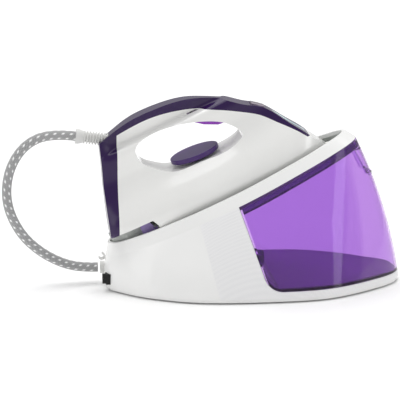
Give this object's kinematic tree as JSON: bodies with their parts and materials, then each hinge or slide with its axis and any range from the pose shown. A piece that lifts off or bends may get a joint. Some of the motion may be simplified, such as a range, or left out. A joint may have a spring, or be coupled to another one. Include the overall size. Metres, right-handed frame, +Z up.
{
  "type": "steam generator iron",
  "caption": "Steam generator iron: a boat-shaped station with a sloping rest and a pull-out clear water tank, and an iron on a steam hose.",
  "frame": {"origin": "on the standing surface, under the middle of the object's box, leaving out the hose and its strain relief", "axes": "+X from the hose end to the tank's front, +Y to the far side, +Z up"},
  "size_m": [0.5005, 0.212, 0.2408],
  "materials": {
    "white_case": "gloss white ABS",
    "cheek_white": "fine dotted texture",
    "tank_violet": "clear tinted",
    "deep_violet": "gloss dark violet",
    "bright_violet": "gloss violet",
    "tray_grey": "matte grey",
    "relief_grey": "soft light grey",
    "hose_braid": "grey braid with white flecks",
    "black_rubber": "matte",
    "sole_metal": "polished",
    "steel": "brushed",
    "brass": "turned",
    "pale_tube": "silicone",
    "inner_plastic": "matte",
    "board_green": "printed board",
    "window_cyan": "clear tinted",
    "silver_trim": "silvered gloss",
    "knob_grey": "matte"
  },
  "bodies": {
    "station": {"base_pan": "white_case", "base_screws": "steel", "boiler_bracket": "steel", "boiler_cutout": "brass", "boiler_element": "steel", "boiler_shell": "steel", "bulkhead": "inner_plastic", "control_board": "board_green", "coupling_seal": "relief_grey", "drain_pipe": "brass", "front_frame": "cheek_white", "heel_rest": "tray_grey", "hose_clip": "tray_grey", "hose_gland": "tray_grey", "mains_gland": "black_rubber", "power_switch": "inner_plastic", "pump_mounts": "black_rubber", "rear_housing": "white_case", "rest_pads": "relief_grey", "rest_tray": "tray_grey", "rim_cover": "white_case", "rubber_feet": "black_rubber", "steam_hose": "hose_braid", "steam_pipe": "pale_tube", "steam_valve": "brass", "tank_coupling": "inner_plastic", "water_pump": "inner_plastic", "water_tube": "pale_tube"},
    "iron": {"iron_shell": "white_case", "handle_cover": "deep_violet", "heel_cover": "deep_violet", "ready_window": "window_cyan", "trigger_pin": "steel", "trigger_switch": "inner_plastic", "trigger_spring": "steel", "soleplate": "sole_metal", "steam_chamber": "sole_metal", "chamber_element": "steel", "heat_skirt": "inner_plastic", "thermostat": "inner_plastic", "terminal_block": "inner_plastic", "chamber_bolts": "steel", "chamber_tube": "steel", "light_guide": "window_cyan", "strain_relief": "relief_grey"},
    "trigger": {"trigger": "bright_violet"},
    "dial": {"dial": "deep_violet", "dial_shaft": "steel"},
    "boost": {"boost_button": "silver_trim"},
    "lock": {"lock_slider": "bright_violet"},
    "tank": {"water_tank": "tank_violet", "tank_deck": "deep_violet", "grip_lip": "deep_violet", "door_pin": "steel", "valve_seat": "inner_plastic"},
    "door": {"fill_door": "tank_violet"},
    "valve": {"outlet_valve": "brass"},
    "power": {"power_button": "silver_trim"},
    "descale": {"descale_knob": "knob_grey"}
  },
  "joints": [
    {"name": "iron_lift", "type": "slide", "parent": "station", "child": "iron", "axis": [-0.4147, 0, 0.91], "range_m": [0, 0.12], "deforming": ["steam_hose"]},
    {"name": "trigger_press", "type": "hinge", "parent": "iron", "child": "trigger", "pos_m": [-0.02737, 0, 0.22043], "axis": [0, 1, 0], "range_deg": [0, 3], "stiffness_Nm_per_rad": 2, "deforming": ["trigger_spring"]},
    {"name": "dial_turn", "type": "hinge", "parent": "iron", "child": "dial", "pos_m": [-0.06891, 0, 0.16688], "axis": [-0.342, 0, 0.9397], "range_deg": [-135, 135]},
    {"name": "boost_press", "type": "slide", "parent": "iron", "child": "boost", "axis": [-0.2672, 0, -0.9636], "range_m": [0, 0.002], "stiffness_N_per_m": 400},
    {"name": "lock_slide", "type": "slide", "parent": "station", "child": "lock", "axis": [0.91, 0, 0.4147], "range_m": [0, 0.006]},
    {"name": "tank_slide", "type": "slide", "parent": "station", "child": "tank", "axis": [1, 0, 0], "range_m": [0, 0.16]},
    {"name": "fill_door_swing", "type": "hinge", "parent": "tank", "child": "door", "pos_m": [0.15106, 0, 0.142], "axis": [0, 1, 0], "range_deg": [0, 80]},
    {"name": "valve_lift", "type": "slide", "parent": "tank", "child": "valve", "axis": [1, 0, 0], "range_m": [0, 0.003], "stiffness_N_per_m": 200},
    {"name": "power_press", "type": "slide", "parent": "station", "child": "power", "axis": [0, -1, 0], "range_m": [0, 0.002], "stiffness_N_per_m": 400},
    {"name": "descale_turn", "type": "hinge", "parent": "station", "child": "descale", "pos_m": [-0.031, 0.1, 0.042], "axis": [0, 1, 0], "range_deg": [0, 90]}
  ]
}
